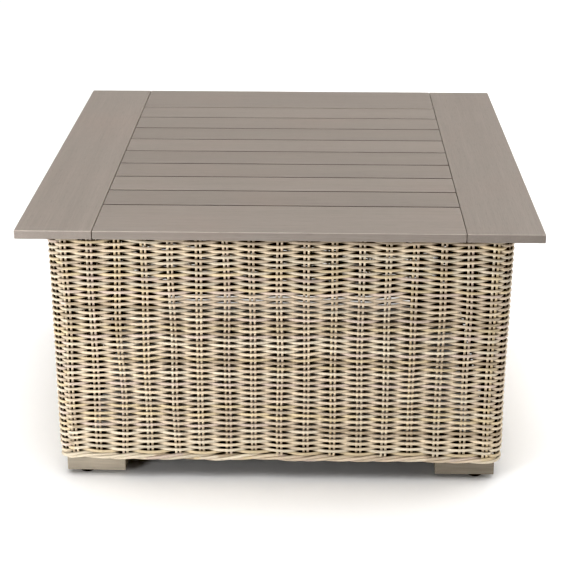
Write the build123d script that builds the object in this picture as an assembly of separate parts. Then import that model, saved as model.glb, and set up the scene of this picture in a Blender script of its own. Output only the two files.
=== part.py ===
"""Square garden coffee table: a slatted composite top on a woven skirt over a welded tube frame.

Millimetres, +Z up. The origin is on the floor under the middle of the top; -Y is the front.
"""
from build123d import *

import math
import os

# ---- the whole table ----
TABLE_SIDE = 800.0
TABLE_HEIGHT = 450.0

# ---- slatted top ----
BOARD_THICKNESS = 14.0
WIDE_BOARD = 117.5
SLAT_COUNT = 8
SLAT_GAP = 3.5
END_SEAM = 0.8
BOARD_EDGE_RADIUS = 1.2

# ---- tube frame ----
TUBE = 20.0
TUBE_WALL = 1.5
FRAME_SIDE = 690.0
BATTEN_OFFSET = 262.0

# ---- woven skirt ----
WEAVE_SIDE = 726.6
WEAVE_WALL = 15.2
WEAVE_CORNER_RADIUS = 24.0
WEAVE_BOTTOM = 32.6
BORDER_HEIGHT = 12.4
BORDER_EDGE_RADIUS = 4.0

# ---- feet ----
FOOT_SIDE = 96.0
FOOT_OUTER = 351.0
FOOT_BOTTOM = 8.0
FOOT_TOP = 32.0
FOOT_EDGE_RADIUS = 1.2
CORNER_PLATE_THICKNESS = 3.0

# ---- levelling glides ----
GLIDE_SIDE_INSET = 29.5
GLIDE_FRONT_INSET = 21.5
STUD_RADIUS = 4.0
STUD_BOTTOM = 1.5
STUD_TOP = 29.5
STUD_TIP = 0.8
RUNNING_CLEARANCE = 0.05
HEX_ACROSS_FLATS = 13.0
HEX_BOTTOM = 5.3
HEX_TOP = 7.5
PAD_RADIUS = 14.0
PAD_BOSS_RADIUS = 9.0
PAD_RIM_HEIGHT = 3.0
PAD_HEIGHT = 5.0
PAD_SOCKET_FLOOR = 1.2
PAD_SOLE_ROUNDING = 1.0
INSERT_RADIUS = 6.0
INSERT_FLANGE_RADIUS = 8.0
INSERT_FLANGE = 1.2
INSERT_TOP = 20.0
STUD_WELL_RADIUS = 4.6
STUD_WELL_TOP = 30.5

# ---- screws ----
SCREW_RADIUS = 2.0
SCREW_HOLE_RADIUS = 2.2
SCREW_HEAD_RADIUS = 4.0
SCREW_HEAD = 2.4
SCREW_POINT = 4.0
SCREW_TIP_RADIUS = 0.3
TOP_SCREW_BITE = 10.0
FOOT_SCREW_BITE = 17.0
END_BOARD_SCREWS = (-270.0, -90.0, 90.0, 270.0)
FOOT_SCREW_SPOTS = ((-30.0, -30.0), (-30.0, 12.0), (12.0, -30.0))

# ---- worked out from the above ----
TOP_HALF = TABLE_SIDE / 2
BOARD_BOTTOM = TABLE_HEIGHT - BOARD_THICKNESS
FIELD_HALF = TOP_HALF - WIDE_BOARD
SLAT_WIDTH = (2 * FIELD_HALF - (SLAT_COUNT + 1) * SLAT_GAP) / SLAT_COUNT
FRAME_HALF = FRAME_SIDE / 2
FRAME_INSIDE = FRAME_HALF - TUBE
UPPER_RAIL_BOTTOM = BOARD_BOTTOM - TUBE
LOWER_RAIL_TOP = FOOT_TOP + TUBE
BORDER_TOP = WEAVE_BOTTOM + BORDER_HEIGHT
PLATE_TOP = FOOT_TOP + CORNER_PLATE_THICKNESS
FOOT_CENTRE = FOOT_OUTER - FOOT_SIDE / 2
GLIDE_X = FOOT_OUTER - GLIDE_SIDE_INSET
GLIDE_Y = FOOT_OUTER - GLIDE_FRONT_INSET

QUARTER_TURNS = {"front": 0, "right": 90, "back": 180, "left": 270}
CORNERS = {
    "front_left": (-1, -1),
    "front_right": (1, -1),
    "back_left": (-1, 1),
    "back_right": (1, 1),
}


def save(node, shape):
    export_step(shape, f"parts/{node}.step")


def box_between(low, high):
    """A box given by its lowest and highest corner."""
    size = [top - bottom for bottom, top in zip(low, high)]
    middle = [(top + bottom) / 2 for bottom, top in zip(low, high)]
    return Pos(*middle) * Box(*size)


def rod(x, y, low, high, radius):
    """An upright round bar between two heights."""
    return Pos(x, y, (low + high) / 2) * Cylinder(radius, high - low)


def eased_board(low, high, edge_radius):
    """A solid composite board with every edge lightly rounded."""
    plank = box_between(low, high)
    return fillet(plank.edges(), edge_radius)


# ---- slatted top ----

def field_rows():
    """Name and front and back edge of each board between the end boards, front to back."""
    rows = [("front_board", -TOP_HALF, -FIELD_HALF)]
    for number in range(SLAT_COUNT):
        front = -FIELD_HALF + SLAT_GAP + number * (SLAT_WIDTH + SLAT_GAP)
        rows.append((f"slat_{number + 1}", front, front + SLAT_WIDTH))
    rows.append(("back_board", FIELD_HALF, TOP_HALF))
    return rows


def field_screws(front, back):
    """Where one cross board is screwed to the three battens."""
    inside = FRAME_INSIDE - TUBE
    middle = max(-inside, min(inside, (front + back) / 2))
    return [(x, middle) for x in (-BATTEN_OFFSET, 0.0, BATTEN_OFFSET)]


def end_screws(side):
    """Where one end board is screwed to the rail under it."""
    return [(side * (FRAME_HALF - TUBE / 2), y) for y in END_BOARD_SCREWS]


def drilled_board(board, places):
    """The board with a blind pilot hole from below at each place."""
    for x, y in places:
        board -= rod(x, y, BOARD_BOTTOM, BOARD_BOTTOM + TOP_SCREW_BITE, SCREW_RADIUS)
    return board


def make_top():
    for name, side in (("end_board_left", -1), ("end_board_right", 1)):
        inner, outer = sorted((side * FIELD_HALF, side * TOP_HALF))
        board = eased_board(
            (inner, -TOP_HALF, BOARD_BOTTOM), (outer, TOP_HALF, TABLE_HEIGHT), BOARD_EDGE_RADIUS
        )
        save(name, drilled_board(board, end_screws(side)))
    reach = FIELD_HALF - END_SEAM
    for name, front, back in field_rows():
        board = eased_board(
            (-reach, front, BOARD_BOTTOM), (reach, back, TABLE_HEIGHT), BOARD_EDGE_RADIUS
        )
        save(name, drilled_board(board, field_screws(front, back)))


def all_top_screws():
    places = end_screws(-1) + end_screws(1)
    for _, front, back in field_rows():
        places += field_screws(front, back)
    return places


# ---- screws ----

def pan_screw(x, y, seat, length, up):
    """A pan-head screw whose head bears on the seat and whose shank runs up or down from it."""
    shank = length - SCREW_POINT
    body = Pos(0, 0, shank / 2) * Cylinder(SCREW_RADIUS, shank)
    body += Pos(0, 0, shank + SCREW_POINT / 2) * Cone(SCREW_RADIUS, SCREW_TIP_RADIUS, SCREW_POINT)
    body += Pos(0, 0, -SCREW_HEAD / 2) * Cylinder(SCREW_HEAD_RADIUS, SCREW_HEAD)
    turn = 0 if up else 180
    return Pos(x, y, seat) * Rot(turn, 0, 0) * body


def make_screws():
    top_length = TUBE + TOP_SCREW_BITE
    screws = [pan_screw(x, y, UPPER_RAIL_BOTTOM, top_length, True) for x, y in all_top_screws()]
    save("top_screws", Compound(screws))
    foot_length = CORNER_PLATE_THICKNESS + FOOT_SCREW_BITE
    screws = [
        pan_screw(x, y, PLATE_TOP, foot_length, False)
        for corner in CORNERS.values()
        for x, y in foot_screw_places(corner)
    ]
    save("foot_screws", Compound(screws))


# ---- tube frame ----

def mitred_rail(bottom, holes):
    """The front rail of a mitred square ring of tube, with round holes through both flat walls."""

    def prism(outer, inner, low, high):
        corners = [(-outer, -outer), (outer, -outer), (inner, -inner), (-inner, -inner)]
        plan = make_face(Polyline(*corners, close=True))
        return Pos(0, 0, low) * extrude(plan, high - low)

    outside = prism(FRAME_HALF, FRAME_INSIDE, bottom, bottom + TUBE)
    hollow = prism(
        FRAME_HALF - TUBE_WALL, FRAME_INSIDE + TUBE_WALL, bottom + TUBE_WALL, bottom + TUBE - TUBE_WALL
    )
    rail = outside - hollow
    for x, y in holes:
        rail -= rod(x, y, bottom, bottom + TUBE, SCREW_HOLE_RADIUS)
    return rail


def straight_tube(low, high, along):
    """A square tube between two corners, open at both ends along axis 0, 1 or 2."""
    inner_low = [value if axis == along else value + TUBE_WALL for axis, value in enumerate(low)]
    inner_high = [value if axis == along else value - TUBE_WALL for axis, value in enumerate(high)]
    return box_between(low, high) - box_between(inner_low, inner_high)


def make_frame():
    side_holes = [(y, -(FRAME_HALF - TUBE / 2)) for y in END_BOARD_SCREWS]
    for name, turn in QUARTER_TURNS.items():
        holes = side_holes if name in ("left", "right") else []
        save(f"upper_rail_{name}", Rot(0, 0, turn) * mitred_rail(UPPER_RAIL_BOTTOM, holes))
        save(f"lower_rail_{name}", Rot(0, 0, turn) * mitred_rail(FOOT_TOP, []))
    for name, (sx, sy) in CORNERS.items():
        left, right = sorted((sx * FRAME_INSIDE, sx * FRAME_HALF))
        front, back = sorted((sy * FRAME_INSIDE, sy * FRAME_HALF))
        post = straight_tube((left, front, LOWER_RAIL_TOP), (right, back, UPPER_RAIL_BOTTOM), 2)
        save(f"corner_post_{name}", post)
    for name, x in (("left", -BATTEN_OFFSET), ("middle", 0.0), ("right", BATTEN_OFFSET)):
        batten = straight_tube(
            (x - TUBE / 2, -FRAME_INSIDE, UPPER_RAIL_BOTTOM), (x + TUBE / 2, FRAME_INSIDE, BOARD_BOTTOM), 1
        )
        for screw_x, y in all_top_screws():
            if screw_x == x:
                batten -= rod(x, y, UPPER_RAIL_BOTTOM, BOARD_BOTTOM, SCREW_HOLE_RADIUS)
        save(f"batten_{name}", batten)


# ---- woven skirt ----

def front_quarter(ring):
    """The front quarter of a square ring, cut along the diagonals."""
    reach = TABLE_SIDE
    wedge = make_face(Polyline((0, 0), (-reach, -reach), (reach, -reach), close=True))
    return ring & (Pos(0, 0, -1) * extrude(wedge, TABLE_HEIGHT))


def woven_ring(low, high):
    """The woven wall as a plain ring with rounded corners."""
    inner_side = WEAVE_SIDE - 2 * WEAVE_WALL
    inner_radius = WEAVE_CORNER_RADIUS - WEAVE_WALL
    outside = extrude(RectangleRounded(WEAVE_SIDE, WEAVE_SIDE, WEAVE_CORNER_RADIUS), high - low)
    inside = extrude(RectangleRounded(inner_side, inner_side, inner_radius), high - low)
    return Pos(0, 0, low) * (outside - inside)


def make_weave():
    panel = front_quarter(woven_ring(BORDER_TOP, BOARD_BOTTOM))
    border_ring = woven_ring(WEAVE_BOTTOM, BORDER_TOP)
    sole_edges = border_ring.edges().group_by(Axis.Z)[0]
    border = front_quarter(fillet(sole_edges, BORDER_EDGE_RADIUS))
    for name, turn in QUARTER_TURNS.items():
        save(f"weave_{name}", Rot(0, 0, turn) * panel)
        save(f"weave_border_{name}", Rot(0, 0, turn) * border)


# ---- feet ----

def foot_screw_places(corner):
    sx, sy = corner
    return [(sx * (FOOT_CENTRE + dx), sy * (FOOT_CENTRE + dy)) for dx, dy in FOOT_SCREW_SPOTS]


def make_feet():
    inserts = []
    inside = FOOT_OUTER - FOOT_SIDE
    for name, (sx, sy) in CORNERS.items():
        left, right = sorted((sx * inside, sx * FOOT_OUTER))
        front, back = sorted((sy * inside, sy * FOOT_OUTER))
        glide_x, glide_y = sx * GLIDE_X, sy * GLIDE_Y
        foot = eased_board((left, front, FOOT_BOTTOM), (right, back, FOOT_TOP), FOOT_EDGE_RADIUS)
        foot -= rod(glide_x, glide_y, FOOT_BOTTOM, INSERT_TOP, INSERT_RADIUS)
        foot -= rod(glide_x, glide_y, FOOT_BOTTOM, FOOT_BOTTOM + INSERT_FLANGE, INSERT_FLANGE_RADIUS)
        foot -= rod(glide_x, glide_y, INSERT_TOP, STUD_WELL_TOP, STUD_WELL_RADIUS)
        plate_left, plate_right = sorted((sx * inside, sx * FRAME_INSIDE))
        plate_front, plate_back = sorted((sy * inside, sy * FRAME_INSIDE))
        plate = box_between((plate_left, plate_front, FOOT_TOP), (plate_right, plate_back, PLATE_TOP))
        for x, y in foot_screw_places((sx, sy)):
            foot -= rod(x, y, FOOT_TOP - FOOT_SCREW_BITE, FOOT_TOP, SCREW_RADIUS)
            plate -= rod(x, y, FOOT_TOP, PLATE_TOP, SCREW_HOLE_RADIUS)
        save(f"foot_{name}", foot)
        save(f"corner_plate_{name}", plate)
        insert = rod(glide_x, glide_y, FOOT_BOTTOM, INSERT_TOP, INSERT_RADIUS)
        insert += rod(glide_x, glide_y, FOOT_BOTTOM, FOOT_BOTTOM + INSERT_FLANGE, INSERT_FLANGE_RADIUS)
        insert -= rod(glide_x, glide_y, FOOT_BOTTOM, INSERT_TOP, STUD_RADIUS + RUNNING_CLEARANCE)
        inserts.append(insert)
    save("threaded_inserts", Compound(inserts))


# ---- levelling glides ----

def glide_pad():
    """A round foot pad with a sloping shoulder and a blind socket for the stud."""
    half = [
        (0, 0),
        (PAD_RADIUS - PAD_SOLE_ROUNDING, 0),
        (PAD_RADIUS, PAD_SOLE_ROUNDING),
        (PAD_RADIUS, PAD_RIM_HEIGHT),
        (PAD_BOSS_RADIUS, PAD_HEIGHT),
        (0, PAD_HEIGHT),
    ]
    profile = Plane.XZ * make_face(Polyline(*half, close=True))
    pad = revolve(profile, Axis.Z)
    return pad - rod(0, 0, PAD_SOCKET_FLOOR, PAD_HEIGHT, STUD_RADIUS + RUNNING_CLEARANCE)


def glide_stud():
    """A threaded stud, at its outside diameter, with a hexagon for a spanner just over the pad."""
    stud = rod(0, 0, STUD_BOTTOM, STUD_TOP - STUD_TIP, STUD_RADIUS)
    tip = Cone(STUD_RADIUS, STUD_RADIUS - STUD_TIP, STUD_TIP)
    stud += Pos(0, 0, STUD_TOP - STUD_TIP / 2) * tip
    corner_radius = HEX_ACROSS_FLATS / 2 / math.cos(math.pi / 6)
    hexagon = extrude(RegularPolygon(corner_radius, 6), HEX_TOP - HEX_BOTTOM)
    return stud + Pos(0, 0, HEX_BOTTOM) * hexagon


def make_glides():
    pad = glide_pad()
    stud = glide_stud()
    for name, (sx, sy) in CORNERS.items():
        place = Pos(sx * GLIDE_X, sy * GLIDE_Y, 0)
        save(f"glide_pad_{name}", place * pad)
        save(f"glide_stud_{name}", place * stud)


os.makedirs("parts", exist_ok=True)
make_top()
make_screws()
make_frame()
make_weave()
make_feet()
make_glides()
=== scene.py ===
import math

import bpy
import numpy as np
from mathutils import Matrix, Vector


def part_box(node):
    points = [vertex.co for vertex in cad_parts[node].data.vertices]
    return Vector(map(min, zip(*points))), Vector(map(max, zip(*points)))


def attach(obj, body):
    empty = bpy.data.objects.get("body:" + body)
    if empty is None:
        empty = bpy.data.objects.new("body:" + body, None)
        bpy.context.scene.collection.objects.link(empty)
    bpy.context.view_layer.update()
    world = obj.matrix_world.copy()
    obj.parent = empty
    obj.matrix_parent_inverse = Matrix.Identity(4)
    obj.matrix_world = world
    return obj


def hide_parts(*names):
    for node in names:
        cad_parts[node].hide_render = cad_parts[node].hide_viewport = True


# A wicker coffee table. Its boards, frame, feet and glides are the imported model's own pieces, with materials.
# Its woven skirt is made here, strand by strand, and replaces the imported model's plain slabs.

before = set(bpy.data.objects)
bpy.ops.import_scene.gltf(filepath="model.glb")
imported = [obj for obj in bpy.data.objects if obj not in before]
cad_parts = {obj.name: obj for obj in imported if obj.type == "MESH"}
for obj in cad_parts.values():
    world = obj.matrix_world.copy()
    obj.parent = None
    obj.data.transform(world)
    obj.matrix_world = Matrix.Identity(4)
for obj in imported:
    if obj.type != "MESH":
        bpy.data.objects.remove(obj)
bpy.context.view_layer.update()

MM = 0.001
# Every random draw comes from here, in one fixed order.
RNG = np.random.default_rng(41)

# ---- the woven skirt, in metres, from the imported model's own pieces ----
WEAVE_HALF = -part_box("weave_front")[0][1]
WEAVE_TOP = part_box("weave_front")[1][2]
BORDER_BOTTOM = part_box("weave_border_front")[0][2]
OUTER_CORNER_RADIUS = 24 * MM

# Depths, heights and widths of strands and stakes are half of the whole.
WEFT_DEPTH = 1.95 * MM
WEFT_HEIGHT = 2.68 * MM
# The height changes by this much where a strand passes a stake.
WEFT_SWELL = -0.12 * MM
# Points round each strand, and rings of them from one stake to the next.
WEFT_SIDES = 10
STEPS_PER_SPAN = 8
# Below 1, this makes a strand lie flatter on the stakes and cross more steeply between them.
WEFT_ROUNDNESS = 0.85
# The lowest rows are the thickest, and rows thin out to their usual size at this height.
LOW_ROWS = 150 * MM
LOW_SWELL = 0.16
# Each row wanders up and down a little, on its own.
ROW_WANDER = 0.22 * MM
ROW_WANDER_KNOTS = 60
ROW_THICKNESS_SPREAD = 0.025
STAKE_WIDTH = 2.1 * MM
STAKE_DEPTH = 1.4 * MM
# The two stakes of a pair stand this far to each side of its middle.
STAKE_SPREAD = 3.3 * MM
STAKE_SIDES = 10
STAKE_STEP = 9 * MM
# Stakes start this far above the border's lower edge and end this far below the top of the weave.
STAKE_FOOT = 5 * MM
STAKE_HEAD = 0.4 * MM
STAKE_WANDER_ALONG = 0.5 * MM
STAKE_WANDER_OUT = 0.12 * MM
STAKE_THICKNESS_SPREAD = 0.03
# A strand's middle swings this far to each side of the wall's, with a little slack at the stakes.
WEAVE_SLACK = 0.1 * MM
WEAVE_SWING = STAKE_DEPTH + WEFT_DEPTH + WEAVE_SLACK
MIDDLE_HALF = WEAVE_HALF - WEAVE_SWING - WEFT_DEPTH
MIDDLE_CORNER_RADIUS = OUTER_CORNER_RADIUS - (WEAVE_HALF - MIDDLE_HALF)

# On each face the stakes are evenly spaced both ways from its middle, apart from the last one each way.
STAKE_PITCH = 42.2 * MM
STAKES_EACH_WAY = 8
LAST_STAKE = 334 * MM
STAKES_PER_FACE = 2 * STAKES_EACH_WAY + 2
ROW_COUNT = 78
ROWS_PER_PIECE = 13
FIRST_ROW = 49.0 * MM
LAST_ROW = WEAVE_TOP - 4.0 * MM

# Half lengths along the wall's middle surface.
STRAIGHT_HALF = MIDDLE_HALF - MIDDLE_CORNER_RADIUS
ARC_HALF = MIDDLE_CORNER_RADIUS * math.pi / 4
FACE_HALF = STRAIGHT_HALF + ARC_HALF
ROUND_TRIP = 8 * FACE_HALF

BORDER_STRANDS = 3
BORDER_STRAND_RADIUS = 2.85 * MM
BORDER_ORBIT = 4.0 * MM
BORDER_INSET = 0.6 * MM
BORDER_PERIODS = 24
BORDER_THICKNESS_SPREAD = 0.05
# A border strand is in front of the stakes for this share of its way, and goes this share as deep behind.
FRONT_SHARE = 2 / 3
BEHIND_DEPTH = 0.5

# ---- painted shade and light on the strands ----
# A strand keeps this share of its colour deeper in than the first depth, and all of it beyond the second, as
# painted shade in the weave's recesses.
SHADE_LEFT = 0.06
SHADE_FROM = -1.3 * MM
SHADE_TO = 0.9 * MM
# Of that it keeps this share where it faces inwards, and all where it faces straight out: painted shade at its
# edges.
# The two limits between them are cosines of the angle from straight out.
EDGE_LEFT = 0.66
EDGE_FROM = -0.25
EDGE_TO = 0.7
# The paired stakes are painted a little paler than the rows as painted light, and the single ones at the
# corners darker as painted shade.
STAKE_PAINTED_LIGHT = 1.12
CORNER_STAKE_PAINTED_SHADE = 0.6

# Under the top's overhang the strands darken from the first height to the second, to this share: a painted
# shadow of the overhang.
EAVES_START = 412 * MM
EAVES_FULL = 426 * MM
EAVES_LEFT = 0.45

# ---- unevenness of the wall ----
# Rows slant more and more above this height.
SLANT_START = 390 * MM
# Below this height the wall curls in, by the whole curl at its lower edge.
CURL_START = 60 * MM
CURL = 3.2 * MM
# Each ripple is the sum of this many waves.
RIPPLE_WAVES = 9

# ---- feet and boards, with colours as linear red, green and blue ----
FOOT_PALE = (0.487, 0.436, 0.366)
FOOT_DARK = (0.386, 0.349, 0.295)
# Each foot is painted darker away from the key lamp on the left, as painted shade.
FOOT_PAINTED_SHADES = {
    "foot_front_left": 1.0,
    "foot_front_right": 0.7,
    "foot_back_left": 0.92,
    "foot_back_right": 0.85,
}

# The boards' rounded upper edges carry a pale painted highlight, and below them their sides are painted darker
# as painted shade, most in the gaps.
BOARD_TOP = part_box("slat_1")[1][2]
SIDE_TOP = BOARD_TOP - 0.5 * MM
SIDE_BOTTOM = SIDE_TOP - 1.0 * MM
RIM_PAINTED_HIGHLIGHT = 1.32
RIM_PAINTED_SHADE = 0.61
GAP_PAINTED_HIGHLIGHT = 1.12
GAP_PAINTED_SHADE = 0.22
SLAT_TONE = 0.97
# Boards differ in tone by up to this share either way.
TONE_SPREAD = 0.035
TONE_STEP = 2.3
# Each board and foot takes its grain from its own place in the noise: this far on for each seed.
BOARD_SHIFT = (3.1, 1.7, 0.9)
FOOT_SHIFT = (1.3, 0.7, 2.1)
BOARD_TAUPE = (0.394, 0.347, 0.314)
BOARD_GREY = (0.380, 0.344, 0.312)
BOARD_WARM = (0.405, 0.345, 0.308)

# ---- strand colours, as linear red, green and blue ----
STRAND_COLOURS = np.array(
    [
        (0.71, 0.64, 0.53),
        (0.7, 0.61, 0.485),
        (0.705, 0.605, 0.445),
        (0.66, 0.57, 0.465),
        (0.61, 0.525, 0.425),
        (0.67, 0.575, 0.5),
        (0.52, 0.44, 0.34),
    ]
)
STRAND_SHARES = np.array([0.24, 0.24, 0.14, 0.14, 0.1, 0.09, 0.05])
STRAND_TONE_SPREAD = 0.04
# Each strand also fades and brightens slowly along its length.
STRAND_FADE_SPREAD = 0.035
STRAND_FADE_KNOTS = 24
# How many lengths follow each other along a row of weft, a stake and a border strand.
WEFT_LENGTHS = 5
STAKE_LENGTHS = 2
BORDER_LENGTHS = 26

# ---- metal and plastic, as linear red, green and blue ----
COAT_BROWN = (0.075, 0.066, 0.057)
STEEL_GREY = (0.58, 0.57, 0.55)
BRASS_YELLOW = (0.62, 0.44, 0.2)
PLASTIC_BLACK = (0.018, 0.017, 0.016)

# ---- maps ----
# Where strands start on the material's map, so that they don't all look alike:
# this far on for each row, for each metre from stake to stake, and for each border strand.
ROW_TEXTURE_STEP = 3.7
STAKE_TEXTURE_STEP = 3
BORDER_TEXTURE_STEP = 5.1
# On the map for baking a row of weft or a border strand is cut into this many strips. A stake is one strip.
WEFT_STRIPS = 4
BORDER_STRIPS = 8
# This share of a strip stays free on each side.
BAKE_MARGIN = 0.12

# ---- light ----
# Sky light by the sine of its elevation: from, to, strength at the first and at the second.
BACKDROP_BAND = (0.16, 0.24, 1.02, 0.04)
CEILING_BAND = (0.7, 0.95, 0.0, 3.5)
# Each lamp's name, place, size, power in watts, and the point that it faces.
LAMPS = (
    ("key", (-1.45, -1.7, 0.6), 0.6, 22, (-0.1, -0.4, 0.25)),
    ("fill", (1.6, 2.2, 0.8), 1.2, 14, (0, 0, 0.25)),
    ("side", (1.9, 0.5, 0.7), 1.0, 10, (0.5, 0, 0.1)),
)
FLOOR_HALF = 30.0
FLOOR_COLOUR = (0.92, 0.92, 0.92)
CONTRAST_GAMMA = 0.75
BLACK_LEVEL = (0.036, 0.038, 0.04)

# ---- camera ----
# Its place, and how many degrees it points down and is turned to the left.
CAMERA_PLACE = (0.0565, -2.36, 1.202)
CAMERA_DOWN = 21.96
CAMERA_TURN = 1.38
# Sensor width and focal length in millimetres.
CAMERA_SENSOR = 36
CAMERA_LENS = 88.421053
CAMERA_SHIFT = -0.05


# ---- geometry of the woven wall ----

class Ripple:
    """A smooth random field over the wall, seamless round its perimeter.

    Its root mean square is the size. Waves are between the shortest and the longest length along the wall,
    and no shorter than the height wave upwards.
    """

    def __init__(self, size, height_wave, shortest, longest):
        lowest, highest = ROUND_TRIP / longest, ROUND_TRIP / shortest
        self.turns = np.round(RNG.uniform(lowest, highest, RIPPLE_WAVES))
        self.climb = RNG.uniform(-1, 1, RIPPLE_WAVES) * 2 * math.pi / height_wave
        self.phase = RNG.uniform(0, 2 * math.pi, RIPPLE_WAVES)
        self.size = size * math.sqrt(2 / RIPPLE_WAVES)

    def at(self, along, height):
        """The field's value at places on the wall."""
        angle = (
            2 * math.pi * self.turns[:, None] * np.ravel(along) / ROUND_TRIP
            + self.climb[:, None] * np.ravel(height)
            + self.phase[:, None]
        )
        return (self.size * np.cos(angle).sum(0)).reshape(np.shape(along))


DRIFT_ALONG = Ripple(0.9 * MM, height_wave=0.22, shortest=0.09, longest=0.6)
DRIFT_UP = Ripple(0.75 * MM, height_wave=0.12, shortest=0.08, longest=0.45)
DRIFT_OUT = Ripple(0.55 * MM, height_wave=0.2, shortest=0.12, longest=0.7)
TOP_SLANT = Ripple(1.3 * MM, height_wave=0.5, shortest=0.1, longest=0.4)


def curl_in(height):
    """How far the wall turns in towards its lower edge."""
    depth = np.clip((CURL_START - height) / (CURL_START - BORDER_BOTTOM), 0, 1)
    return CURL * depth * depth


def wall_point(along, out, height):
    """Points on the wall: along it from the middle of the front, and out from its middle surface."""
    along = np.mod(along + FACE_HALF, ROUND_TRIP)
    face = np.floor(along / (2 * FACE_HALF))
    across = along - face * 2 * FACE_HALF - FACE_HALF
    bend = np.clip((np.abs(across) - STRAIGHT_HALF) / MIDDLE_CORNER_RADIUS, 0, None)
    radius = MIDDLE_CORNER_RADIUS + out
    x = np.sign(across) * (np.minimum(np.abs(across), STRAIGHT_HALF) + radius * np.sin(bend))
    y = -(STRAIGHT_HALF + radius * np.cos(bend))
    turn = face * math.pi / 2
    turned_x = x * np.cos(turn) - y * np.sin(turn)
    turned_y = x * np.sin(turn) + y * np.cos(turn)
    return np.stack([turned_x, turned_y, height], -1)


def worked_point(along, out, height):
    """The same, with the hand weaver's unevenness and the curl of the lower edge."""
    shift = DRIFT_ALONG.at(along, height)
    near_top = np.clip((height - SLANT_START) / (WEAVE_TOP - SLANT_START), 0, 1)
    lift = DRIFT_UP.at(along, height) + near_top * TOP_SLANT.at(along, height)
    swell = DRIFT_OUT.at(along, height)
    return wall_point(along + shift, out + swell - curl_in(height), height + lift)


def stake_places():
    """Where stakes stand along the wall: pairs on each face, and then a single one at its corner."""
    places = []
    for face in range(4):
        middle = face * 2 * FACE_HALF
        for number in range(-STAKES_EACH_WAY, STAKES_EACH_WAY + 1):
            last = abs(number) == STAKES_EACH_WAY
            offset = math.copysign(LAST_STAKE, number) if last else number * STAKE_PITCH
            places.append(middle + offset)
        places.append(middle + FACE_HALF)
    wander = RNG.normal(0, STAKE_WANDER_ALONG, len(places))
    return np.array(places) + np.clip(wander, -2 * STAKE_WANDER_ALONG, 2 * STAKE_WANDER_ALONG)


def tube_vertices(path, half_out, half_up, sides, closed, up=(0, 0, 1)):
    """Rings of points round a path. The first point of each ring is on the inner side, where the seam is."""
    if closed:
        tangent = np.roll(path, -1, 0) - np.roll(path, 1, 0)
    else:
        tangent = np.gradient(path, axis=0)
    tangent /= np.linalg.norm(tangent, axis=1, keepdims=True)
    outward = np.cross(tangent, np.array(up, float))
    outward /= np.linalg.norm(outward, axis=1, keepdims=True)
    upward = np.cross(outward, tangent)
    angle = math.pi + 2 * math.pi * np.arange(sides) / sides
    ring = (
        np.cos(angle)[None, :, None] * outward[:, None] * np.reshape(half_out, (-1, 1, 1))
        + np.sin(angle)[None, :, None] * upward[:, None] * np.reshape(half_up, (-1, 1, 1))
    )
    return path[:, None] + ring


def corner_values(low, high, sides):
    """A value at the four corners of each face, from its values at each span's two ends."""
    one = np.ones(sides)
    low, high = np.outer(low, one), np.outer(high, one)
    return np.stack([low, high, high, low], -1)


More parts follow.
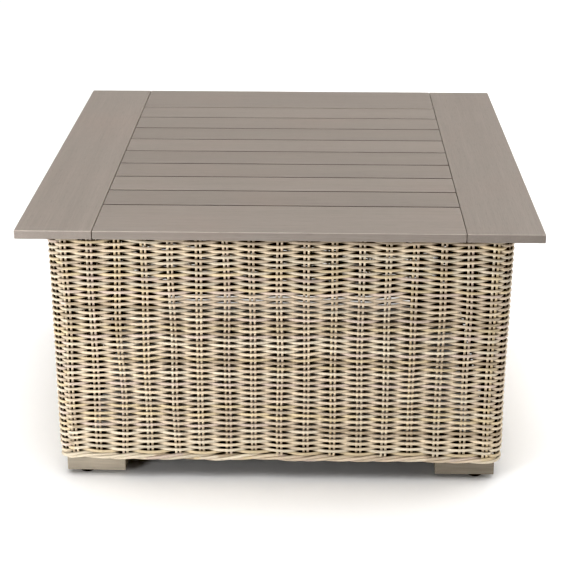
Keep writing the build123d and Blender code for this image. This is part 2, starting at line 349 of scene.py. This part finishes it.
class StrandMesh:
    """Many strands gathered into one mesh.

    It has a colour at each point, a map along and round each strand, and a packed map for baking.
    """

    def __init__(self):
        self.points, self.quads, self.tris, self.colours = [], [], [], []
        self.strand_uv, self.bake_parts = [], []
        self.count = 0
        self.strips = 0

    def add(self, rings, colours, closed, start, strips=1, kept=None):
        """Adds a strand: rings of points, a colour for each, and the share of it that each point keeps."""
        steps, sides = rings.shape[:2]
        spans = steps if closed else steps - 1
        i = np.arange(spans)[:, None]
        j = np.arange(sides)[None, :]
        after_i, after_j = (i + 1) % steps, (j + 1) % sides
        corners = [i * sides + j, after_i * sides + j, after_i * sides + after_j, i * sides + after_j]
        self.quads.append(self.count + np.stack(np.broadcast_arrays(*corners), -1).reshape(-1, 4))
        self.map_strand(rings, spans, strips, start)
        self.points.append(rings.reshape(-1, 3))
        shades = np.repeat(colours, sides, 0)
        if kept is not None:
            shades = shades * kept.reshape(-1, 1)
        self.colours.append(shades)
        self.count += steps * sides
        if not closed:
            self.cap(rings, sides, steps)

    def map_strand(self, rings, spans, strips, start):
        """Maps one strand by its own length, and shares it out over some strips of the bake map."""
        sides = rings.shape[1]
        centre = rings.mean(1)
        stride = np.linalg.norm(np.roll(centre, -1, 0) - centre, axis=1)[:spans]
        length = np.concatenate([[0.0], np.cumsum(stride)])
        along = corner_values(start + length[:-1], start + length[1:], sides)
        near = np.broadcast_to(np.arange(sides) / sides, (spans, sides))
        far = near + 1 / sides
        around = np.stack([near, near, far, far], -1)
        self.strand_uv.append(np.stack([along, around], -1).reshape(-1, 2))
        number = np.minimum(np.arange(spans) * strips // spans, strips - 1)
        first = np.array([np.argmax(number == strip) for strip in range(strips)])
        last = np.append(first[1:], spans)
        place = (np.arange(spans) - first[number]) / (last - first)[number]
        across = corner_values(place, place + 1 / (last - first)[number], sides)
        strip = np.broadcast_to((self.strips + number)[:, None, None], across.shape)
        self.strips += strips
        self.bake_parts.append(np.stack([across, strip, around], -1).reshape(-1, 3))

    def bake_map(self, spare_corners):
        """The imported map: a row for each strip, and a spare row for the ends of open strands."""
        parts = np.concatenate(self.bake_parts)
        rows = self.strips + 1
        across, strip, around = parts.T
        upward = (strip + BAKE_MARGIN + (1 - 2 * BAKE_MARGIN) * around) / rows
        spare = np.zeros((spare_corners, 2))
        spare[:, 1] = (rows - 0.5) / rows
        return np.concatenate([np.stack([across, upward], -1), spare])

    def cap(self, rings, sides, steps):
        """Closes both ends of an open strand with a fan, in the colour of the strand's first point."""
        base = self.count - steps * sides
        colour = self.colours[-1][:1]
        j = np.arange(sides)
        for ring, flip in ((0, True), (steps - 1, False)):
            self.points.append(rings[ring].mean(0)[None])
            self.colours.append(colour)
            rim = base + ring * sides + j
            rim_next = base + ring * sides + (j + 1) % sides
            middle = np.full(sides, self.count)
            fan = np.stack([middle, rim_next, rim] if flip else [middle, rim, rim_next], -1)
            self.tris.append(fan)
            self.count += 1

    def build(self, name, material):
        """Makes the Blender mesh and its object."""
        quads = np.concatenate(self.quads)
        tris = np.concatenate(self.tris) if self.tris else np.zeros((0, 3), int)
        corners = np.concatenate([quads.ravel(), tris.ravel()])
        sizes = np.concatenate([np.full(len(quads), 4), np.full(len(tris), 3)])
        starts = np.concatenate([[0], np.cumsum(sizes)[:-1]])
        mesh = bpy.data.meshes.new(name)
        points = np.concatenate(self.points)
        mesh.vertices.add(len(points))
        mesh.vertices.foreach_set("co", points.astype(np.float32).ravel())
        mesh.loops.add(len(corners))
        mesh.loops.foreach_set("vertex_index", corners.astype(np.int32))
        mesh.polygons.add(len(sizes))
        mesh.polygons.foreach_set("loop_start", starts.astype(np.int32))
        mesh.update(calc_edges=True)
        mesh.polygons.foreach_set("use_smooth", np.ones(len(sizes), bool))
        strand = np.concatenate(self.strand_uv + [np.zeros((len(tris) * 3, 2))])
        for title, values in (("strand", strand), ("OFBake", self.bake_map(len(tris) * 3))):
            layer = mesh.uv_layers.new(name=title)
            layer.data.foreach_set("uv", values.astype(np.float32).ravel())
        tint = mesh.color_attributes.new("strand_colour", "FLOAT_COLOR", "POINT")
        shades = np.concatenate(self.colours)
        tint.data.foreach_set("color", np.c_[shades, np.ones(len(shades))].astype(np.float32).ravel())
        mesh.materials.append(material)
        piece = bpy.data.objects.new(name, mesh)
        bpy.context.scene.collection.objects.link(piece)
        return piece


def eased(share):
    """A share from 0 to 1, with a gentle start and end."""
    return share * share * (3 - 2 * share)


def painted_recess_shades(out, sides, half_out):
    """How much of its colour each point of a strand keeps: painted shade, darker on its inner side and at its
    edges.
    """
    angle = math.pi + 2 * math.pi * np.arange(sides) / sides
    depth = out[:, None] + half_out * np.cos(angle)[None]
    share = np.clip((depth - SHADE_FROM) / (SHADE_TO - SHADE_FROM), 0, 1)
    facing = np.clip((np.cos(angle) - EDGE_FROM) / (EDGE_TO - EDGE_FROM), 0, 1)
    facing = EDGE_LEFT + (1 - EDGE_LEFT) * eased(facing)
    return (SHADE_LEFT + (1 - SHADE_LEFT) * eased(share)) * facing[None]


def eaves_painted_shadow(height):
    """How much of its colour a strand keeps at a height: a painted shadow under the top's overhang."""
    share = np.clip((height - EAVES_START) / (EAVES_FULL - EAVES_START), 0, 1)
    return 1 - (1 - EAVES_LEFT) * share


def strand_shades(count, lengths):
    """Colours along one strand, whose lengths each keep to their own colour."""
    picks = RNG.choice(len(STRAND_COLOURS), lengths, p=STRAND_SHARES)
    tones = STRAND_COLOURS[picks] * RNG.normal(1, STRAND_TONE_SPREAD, (lengths, 1))
    joins = np.sort(RNG.uniform(0, count, lengths - 1))
    owner = np.searchsorted(joins, np.arange(count))
    fades = RNG.normal(1, STRAND_FADE_SPREAD, STRAND_FADE_KNOTS)
    fade = np.interp(np.arange(count), np.linspace(0, count, STRAND_FADE_KNOTS), fades)
    return tones[owner] * fade[:, None]


# ---- materials ----

class Shader:
    """A Principled material, put together node by node."""

    def __init__(self, name, roughness, **settings):
        self.material = bpy.data.materials.new(name)
        self.material.use_nodes = True
        self.tree = self.material.node_tree
        self.surface = self.tree.nodes["Principled BSDF"]
        self.surface.inputs["Roughness"].default_value = roughness
        for socket, value in settings.items():
            self.surface.inputs[socket.replace("_", " ")].default_value = value

    def node(self, kind, values=(), **attributes):
        """A new node. Each value is a number for one of its sockets, or an output to link to it."""
        made = self.tree.nodes.new("ShaderNode" + kind)
        for key, value in attributes.items():
            setattr(made, key, value)
        for socket, value in dict(values).items():
            if isinstance(value, bpy.types.NodeSocket):
                self.tree.links.new(value, made.inputs[socket])
            else:
                made.inputs[socket].default_value = value
        return made

    def where(self):
        """The place on the object, in metres."""
        return self.node("TexCoord").outputs["Object"]

    def scaled(self, vector, scale, shift=(0, 0, 0)):
        """The vector for noise with so many features a unit: three numbers, or one for every axis."""
        if not isinstance(scale, (tuple, list)):
            scale = (scale, scale, scale)
        values = {"Vector": vector, "Scale": scale, "Location": shift}
        return self.node("Mapping", values).outputs[0]

    def grained(self, vector, along, lengthwise, crosswise, shift):
        """The vector for grain that runs along one axis."""
        scale = [crosswise, crosswise, crosswise]
        scale[along] = lengthwise
        return self.scaled(vector, scale, shift)

    def noise(self, vector, detail, roughness=0.5):
        values = {"Vector": vector, "Scale": 1.0, "Detail": detail, "Roughness": roughness}
        return self.node("TexNoise", values).outputs[0]

    def ramp(self, value, stops):
        """The value, turned into greys by stops of a position and a grey."""
        made = self.node("ValToRGB", {"Fac": value})
        elements = made.color_ramp.elements
        while len(elements) < len(stops):
            elements.new(0.5)
        for element, (position, grey) in zip(elements, stops):
            element.position = position
            element.color = (grey, grey, grey, 1)
        return made.outputs[0]

    def rescaled(self, value, from_low, from_high, to_low, to_high):
        """The value, moved from its first range to the second and held inside it."""
        values = {"Value": value, "From Min": from_low, "From Max": from_high}
        values |= {"To Min": to_low, "To Max": to_high}
        return self.node("MapRange", values).outputs[0]

    def between(self, value, low, high):
        """The value, which lies between 0 and 1, moved to run from low to high."""
        return self.rescaled(value, 0.0, 1.0, low, high)

    def varied(self, value, spread):
        """The value, which lies between 0 and 1, as a factor between 1 - spread and 1 + spread."""
        return self.between(value, 1 - spread, 1 + spread)

    def total(self, first, second):
        return self.node("Math", {0: first, 1: second}, operation="ADD").outputs[0]

    def product(self, first, *others):
        for other in others:
            first = self.node("Math", {0: first, 1: other}, operation="MULTIPLY").outputs[0]
        return first

    def mix(self, share, first, second, blend="MIX"):
        """The first colour, with a share of the second."""
        made = self.node("Mix", data_type="RGBA", blend_type=blend)
        for socket, value in ((made.inputs[0], share), (made.inputs[6], first), (made.inputs[7], second)):
            if isinstance(value, bpy.types.NodeSocket):
                self.tree.links.new(value, socket)
            elif socket == made.inputs[0]:
                socket.default_value = value
            else:
                socket.default_value = (*value, 1)
        return made.outputs[2]

    def shade(self, colour, value):
        """The colour, multiplied by a value."""
        grey = self.node("CombineColor", {0: value, 1: value, 2: value}).outputs[0]
        return self.mix(1.0, colour, grey, "MULTIPLY")

    def feed(self, socket, value):
        """Links a value to one of the surface's own sockets."""
        self.tree.links.new(value, self.surface.inputs[socket])

    def relief(self, height, depth, strength):
        bump = self.node("Bump", {"Height": height, "Strength": strength, "Distance": depth})
        self.feed("Normal", bump.outputs[0])


def board_material(name, along, seed, is_slat):
    """Taupe composite with fine straight grain along axis 0 or 1. Its sides are painted darker than its top as
    painted shade, and its rounded upper edges carry a painted highlight.
    """
    edge_highlight, painted_side_shade = (GAP_PAINTED_HIGHLIGHT, GAP_PAINTED_SHADE) if is_slat else (RIM_PAINTED_HIGHLIGHT, RIM_PAINTED_SHADE)
    own_tone = (SLAT_TONE if is_slat else 1.0) * (1 + TONE_SPREAD * math.sin(TONE_STEP * seed))
    look = Shader(name, roughness=0.45, Specular_IOR_Level=0.5)
    place = look.where()
    shift = [step * seed for step in BOARD_SHIFT]

    def grain(lengthwise, crosswise):
        return look.grained(place, along, lengthwise, crosswise, shift)

    fine = look.noise(grain(lengthwise=9, crosswise=900), detail=4, roughness=0.65)
    streaks = look.noise(grain(lengthwise=2.5, crosswise=150), detail=3)
    broad = look.noise(grain(lengthwise=1.2, crosswise=26), detail=2)
    pores = look.ramp(look.noise(grain(lengthwise=45, crosswise=1500), detail=2), [(0.28, 0.84), (0.42, 1.0)])
    tone = look.product(look.varied(fine, 0.14), look.varied(streaks, 0.08), look.varied(broad, 0.05))
    tone = look.product(tone, own_tone)
    mottle = look.noise(look.scaled(place, 9, shift), detail=2)
    base = look.mix(mottle, BOARD_TAUPE, BOARD_GREY)
    warm = look.ramp(look.noise(look.scaled(place, 5, shift), detail=1), [(0.55, 0), (0.8, 1)])
    base = look.mix(look.product(warm, 0.5), base, BOARD_WARM)
    colour = look.shade(look.shade(base, tone), pores)
    height = look.node("SeparateXYZ", {0: place}).outputs[2]
    # Painted shade on the board's sides, and a painted highlight on its rounded upper edge.
    side = look.rescaled(height, SIDE_BOTTOM, SIDE_TOP, painted_side_shade, 1.0)
    painted_highlight = look.rescaled(height, SIDE_TOP, BOARD_TOP, edge_highlight, 1.0)
    look.feed("Base Color", look.shade(look.shade(colour, side), painted_highlight))
    look.feed("Roughness", look.between(streaks, 0.36, 0.52))
    look.relief(look.total(fine, look.product(pores, 0.5)), depth=0.35 * MM, strength=0.5)
    return look.material


def strand_material():
    """Round strand, faintly ribbed along its length, with the strand's own colour."""
    look = Shader("woven_strand", roughness=0.5, Specular_IOR_Level=0.28)
    place = look.node("UVMap", uv_map="strand").outputs[0]
    own = look.node("Attribute", attribute_name="strand_colour").outputs["Color"]
    # The first scale is features a metre along the strand, and the second is features round it.
    ribs = look.noise(look.scaled(place, (30, 22, 1)), detail=3, roughness=0.6)
    streaks = look.noise(look.scaled(place, (9, 5, 1)), detail=2)
    flecks = look.ramp(look.noise(look.scaled(place, (90, 16, 1)), detail=2), [(0.25, 0.6), (0.36, 1.0)])
    tone = look.product(look.varied(ribs, 0.13), look.varied(streaks, 0.12))
    look.feed("Base Color", look.shade(look.shade(own, tone), flecks))
    look.feed("Roughness", look.between(ribs, 0.45, 0.65))
    look.relief(ribs, depth=0.5 * MM, strength=0.6)
    return look.material


def foot_material(name, along, seed, painted_lightness):
    """Weathered grey wood with open grain along an axis."""
    look = Shader(name, roughness=0.6, Specular_IOR_Level=0.35)
    place = look.where()
    shift = [step * seed for step in FOOT_SHIFT]
    bend = look.noise(look.scaled(place, 14, shift), detail=2)
    broad = look.grained(place, along, lengthwise=9, crosswise=160, shift=shift)
    narrow = look.grained(place, along, lengthwise=30, crosswise=900, shift=shift)
    grain = look.noise(broad, detail=4, roughness=0.65)
    pores = look.noise(narrow, detail=3)
    tone = look.product(look.varied(grain, 0.28), look.varied(pores, 0.14), painted_lightness)
    look.feed("Base Color", look.shade(look.mix(bend, FOOT_PALE, FOOT_DARK), tone))
    look.feed("Roughness", look.between(grain, 0.5, 0.7))
    look.relief(look.total(grain, pores), depth=0.4 * MM, strength=0.6)
    return look.material


def smooth_material(name, colour, roughness, metallic, grain):
    """Metal, powder coat or plastic: a little cloudy, with so many fine features a metre."""
    look = Shader(name, roughness, Metallic=metallic)
    place = look.where()
    cloud = look.noise(look.scaled(place, 40), detail=3)
    fine = look.noise(look.scaled(place, grain), detail=2)
    darker = [0.94 * part for part in colour]
    base = look.mix(fine, colour, darker)
    look.feed("Base Color", look.shade(base, look.between(cloud, 0.88, 1.1)))
    look.feed("Roughness", look.between(cloud, roughness - 0.08, roughness + 0.1))
    look.relief(fine, depth=0.2 * MM, strength=0.35)
    return look.material


# ---- pieces ----

def dress(node, material):
    """Gives a CAD node a material."""
    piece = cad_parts[node]
    if not piece.material_slots:
        piece.data.materials.append(material)
    for slot in piece.material_slots:
        slot.link = "OBJECT"
        slot.material = material


def make_weft(places, material):
    """Rows of weft in bands, each row in front of one pair of stakes and behind the next."""
    heights = np.linspace(FIRST_ROW, LAST_ROW, ROW_COUNT)
    nodes = [f"weave_{side}" for side in ("front", "right", "back", "left")]
    ahead = np.roll(places, -1)
    ahead[-1] += ROUND_TRIP
    share = np.arange(STEPS_PER_SPAN) / STEPS_PER_SPAN
    along = (places[:, None] + (ahead - places)[:, None] * share).ravel()
    swing = np.cos(math.pi * share)
    swing = np.sign(swing) * np.abs(swing) ** WEFT_ROUNDNESS
    sign = np.where(np.arange(len(places)) % 2 == 0, 1.0, -1.0)
    wave = (sign[:, None] * swing).ravel()
    knot_places = np.linspace(along[0], along[0] + ROUND_TRIP, ROW_WANDER_KNOTS + 1)
    for band in range(ROW_COUNT // ROWS_PER_PIECE):
        mesh = StrandMesh()
        for row in range(band * ROWS_PER_PIECE, (band + 1) * ROWS_PER_PIECE):
            side = 1 if row % 2 else -1
            out = side * wave * WEAVE_SWING
            knots = RNG.normal(0, ROW_WANDER, ROW_WANDER_KNOTS)
            height = heights[row] + np.interp(along, knot_places, np.append(knots, knots[0]))
            path = worked_point(along, out, height)
            thick = RNG.normal(1, ROW_THICKNESS_SPREAD)
            thick *= 1 + LOW_SWELL * np.clip((LOW_ROWS - heights[row]) / LOW_ROWS, 0, 1)
            half_up = (WEFT_HEIGHT + WEFT_SWELL * np.abs(wave)) * thick
            rings = tube_vertices(path, WEFT_DEPTH, half_up, WEFT_SIDES, True)
            # Painted shade in the weave's recesses, times a painted shadow under the top's overhang.
            kept = painted_recess_shades(out, WEFT_SIDES, WEFT_DEPTH) * eaves_painted_shadow(heights[row])
            colours = strand_shades(len(along), WEFT_LENGTHS)
            mesh.add(rings, colours, True, row * ROW_TEXTURE_STEP, WEFT_STRIPS, kept)
        piece = mesh.build(f"woven_rows_{band + 1}", material)
        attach(piece, "table")
        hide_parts(*nodes)


def make_stakes(places, material):
    """A pair of upright canes at each place, and a single one at each corner."""
    mesh = StrandMesh()
    low, high = BORDER_BOTTOM + STAKE_FOOT, WEAVE_TOP - STAKE_HEAD
    heights = np.arange(low, high, STAKE_STEP)
    # The last ring is at the very top, and none is close below it.
    heights = np.append(heights[heights < high - STAKE_STEP / 3], high)
    for number, place in enumerate(places):
        at_corner = number % STAKES_PER_FACE == STAKES_PER_FACE - 1
        spreads = (0.0,) if at_corner else (-STAKE_SPREAD, STAKE_SPREAD)
        for spread in spreads:
            along = np.full(len(heights), place + spread)
            out = np.full(len(heights), RNG.normal(0, STAKE_WANDER_OUT))
            path = worked_point(along, out, heights)
            outward = wall_point(along, out + 1 * MM, heights) - wall_point(along, out, heights)
            size = RNG.normal(1, STAKE_THICKNESS_SPREAD)
            sideways = np.cross(outward[0], (0, 0, 1.0))
            across = sideways / np.linalg.norm(sideways)
            rings = tube_vertices(path, STAKE_DEPTH * size, STAKE_WIDTH * size, STAKE_SIDES, False, across)
            # Paired stakes get painted light, corner stakes painted shade, and all a painted shadow under the
            # overhang.
            shade = (CORNER_STAKE_PAINTED_SHADE if at_corner else STAKE_PAINTED_LIGHT) * eaves_painted_shadow(heights)[:, None]
            colours = strand_shades(len(heights), STAKE_LENGTHS) * shade
            mesh.add(rings, colours, False, place * STAKE_TEXTURE_STEP)
    piece = mesh.build("weave_stakes", material)
    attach(piece, "table")


def wale_orbit(turns):
    """Where a border strand lies, out and up from the border's middle.

    It rises in front of the stakes and drops back behind them.
    """
    part = np.mod(turns, 1.0)
    ahead = part < FRONT_SHARE
    front = math.pi * part / FRONT_SHARE
    behind = math.pi * (part - FRONT_SHARE) / (1 - FRONT_SHARE)
    out = np.where(ahead, np.sin(front), -BEHIND_DEPTH * np.sin(behind))
    up = np.where(ahead, -np.cos(front), np.cos(behind))
    return BORDER_ORBIT * out, BORDER_ORBIT * up


def make_border(material):
    """A three-strand wale: each strand rises in front of two stakes and drops back behind the third."""
    mesh = StrandMesh()
    count = BORDER_PERIODS * BORDER_STRANDS * STEPS_PER_SPAN
    share = np.arange(count) / count
    along = share * ROUND_TRIP
    middle = BORDER_BOTTOM + BORDER_ORBIT + BORDER_STRAND_RADIUS
    for strand in range(BORDER_STRANDS):
        out, up = wale_orbit(BORDER_PERIODS * share + strand / BORDER_STRANDS)
        path = worked_point(along, out - BORDER_INSET, middle + up)
        knots = RNG.normal(1, BORDER_THICKNESS_SPREAD, BORDER_PERIODS * 2)
        knots[-1] = knots[0]
        size = BORDER_STRAND_RADIUS * np.interp(share, np.linspace(0, 1, len(knots)), knots)
        rings = tube_vertices(path, size, size, WEFT_SIDES, True)
        # Painted shade where the border strands turn in and at their edges.
        kept = painted_recess_shades(out, WEFT_SIDES, BORDER_STRAND_RADIUS)
        colours = strand_shades(count, BORDER_LENGTHS)
        mesh.add(rings, colours, True, strand * BORDER_TEXTURE_STEP, BORDER_STRIPS, kept)
    piece = mesh.build("weave_border", material)
    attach(piece, "table")
    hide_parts(*[f"weave_border_{side}" for side in ("front", "right", "back", "left")])


def dress_top():
    """Gives the boards and slats their materials, with grain along each."""
    for number, name in enumerate(("end_board_left", "end_board_right")):
        dress(name, board_material(name, along=1, seed=number + 1, is_slat=False))
    names = ["front_board"] + [f"slat_{number}" for number in range(1, 9)] + ["back_board"]
    for number, name in enumerate(names):
        dress(name, board_material(name, along=0, seed=number + 4, is_slat=name.startswith("slat")))


def dress_frame():
    """Gives the frame, feet, glides and hardware their materials."""
    coat = smooth_material("powder_coat", COAT_BROWN, roughness=0.55, metallic=0.0, grain=900)
    steel = smooth_material("stainless_steel", STEEL_GREY, roughness=0.32, metallic=1.0, grain=1500)
    brass = smooth_material("brass", BRASS_YELLOW, roughness=0.35, metallic=1.0, grain=1500)
    plastic = smooth_material("black_plastic", PLASTIC_BLACK, roughness=0.55, metallic=0.0, grain=1200)
    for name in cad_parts:
        if name.startswith(("upper_rail", "lower_rail", "corner_post", "corner_plate", "batten")):
            dress(name, coat)
        elif name.startswith("foot_") and name != "foot_screws":
            # Each foot's lightness factor is painted shade.
            dress(name, foot_material(name, along=0, seed=len(name), painted_lightness=FOOT_PAINTED_SHADES[name]))
        elif name.endswith("_screws") or name.startswith("glide_stud"):
            dress(name, steel)
        elif name == "threaded_inserts":
            dress(name, brass)
        elif name.startswith("glide_pad"):
            dress(name, plastic)


# ---- floor, light and camera ----

def make_floor():
    half = FLOOR_HALF
    corners = [(-half, -half, 0), (half, -half, 0), (half, half, 0), (-half, half, 0)]
    mesh = bpy.data.meshes.new("floor")
    mesh.from_pydata(corners, [], [(0, 1, 2, 3)])
    floor = bpy.data.objects.new("floor", mesh)
    bpy.context.scene.collection.objects.link(floor)
    pale = Shader("pale_floor", roughness=0.8)
    pale.surface.inputs["Base Color"].default_value = (*FLOOR_COLOUR, 1)
    mesh.materials.append(pale.material)


def make_sky():
    """A white band at the horizon, dark above it, and a bright ceiling."""
    world = bpy.data.worlds.new("studio")
    world.use_nodes = True
    nodes, links = world.node_tree.nodes, world.node_tree.links
    direction = nodes.new("ShaderNodeTexCoord")
    split = nodes.new("ShaderNodeSeparateXYZ")
    links.new(direction.outputs["Generated"], split.inputs[0])
    total = nodes.new("ShaderNodeMath")
    for number, band in enumerate((BACKDROP_BAND, CEILING_BAND)):
        spread = nodes.new("ShaderNodeMapRange")
        for socket, value in zip(("From Min", "From Max", "To Min", "To Max"), band):
            spread.inputs[socket].default_value = value
        links.new(split.outputs["Z"], spread.inputs["Value"])
        links.new(spread.outputs[0], total.inputs[number])
    links.new(total.outputs[0], nodes["Background"].inputs["Strength"])
    nodes["Background"].inputs["Color"].default_value = (1, 1, 1, 1)
    bpy.context.scene.world = world


def make_lamps():
    for name, place, size, power, target in LAMPS:
        lamp = bpy.data.lights.new(name, "AREA")
        lamp.size = size
        lamp.energy = power
        item = bpy.data.objects.new(name, lamp)
        item.location = place
        item.rotation_euler = (Vector(target) - item.location).to_track_quat("-Z", "Y").to_euler()
        bpy.context.scene.collection.objects.link(item)


def make_camera():
    camera = bpy.data.cameras.new("camera")
    camera.sensor_width = CAMERA_SENSOR
    camera.lens = CAMERA_LENS
    camera.shift_y = CAMERA_SHIFT
    item = bpy.data.objects.new("camera", camera)
    item.location = CAMERA_PLACE
    item.rotation_euler = (math.radians(90 - CAMERA_DOWN), 0, math.radians(CAMERA_TURN))
    bpy.context.scene.collection.objects.link(item)
    bpy.context.scene.camera = item


def set_contrast():
    """Deepens the dark gaps in the weave."""
    settings = bpy.context.scene.view_settings
    settings.view_transform = "Standard"
    settings.gamma = CONTRAST_GAMMA
    settings.use_curve_mapping = True
    settings.curve_mapping.black_level = BLACK_LEVEL


strand = strand_material()
stakes = stake_places()
make_weft(stakes, strand)
make_stakes(stakes, strand)
make_border(strand)
dress_top()
dress_frame()
make_floor()
make_sky()
make_lamps()
make_camera()
set_contrast()
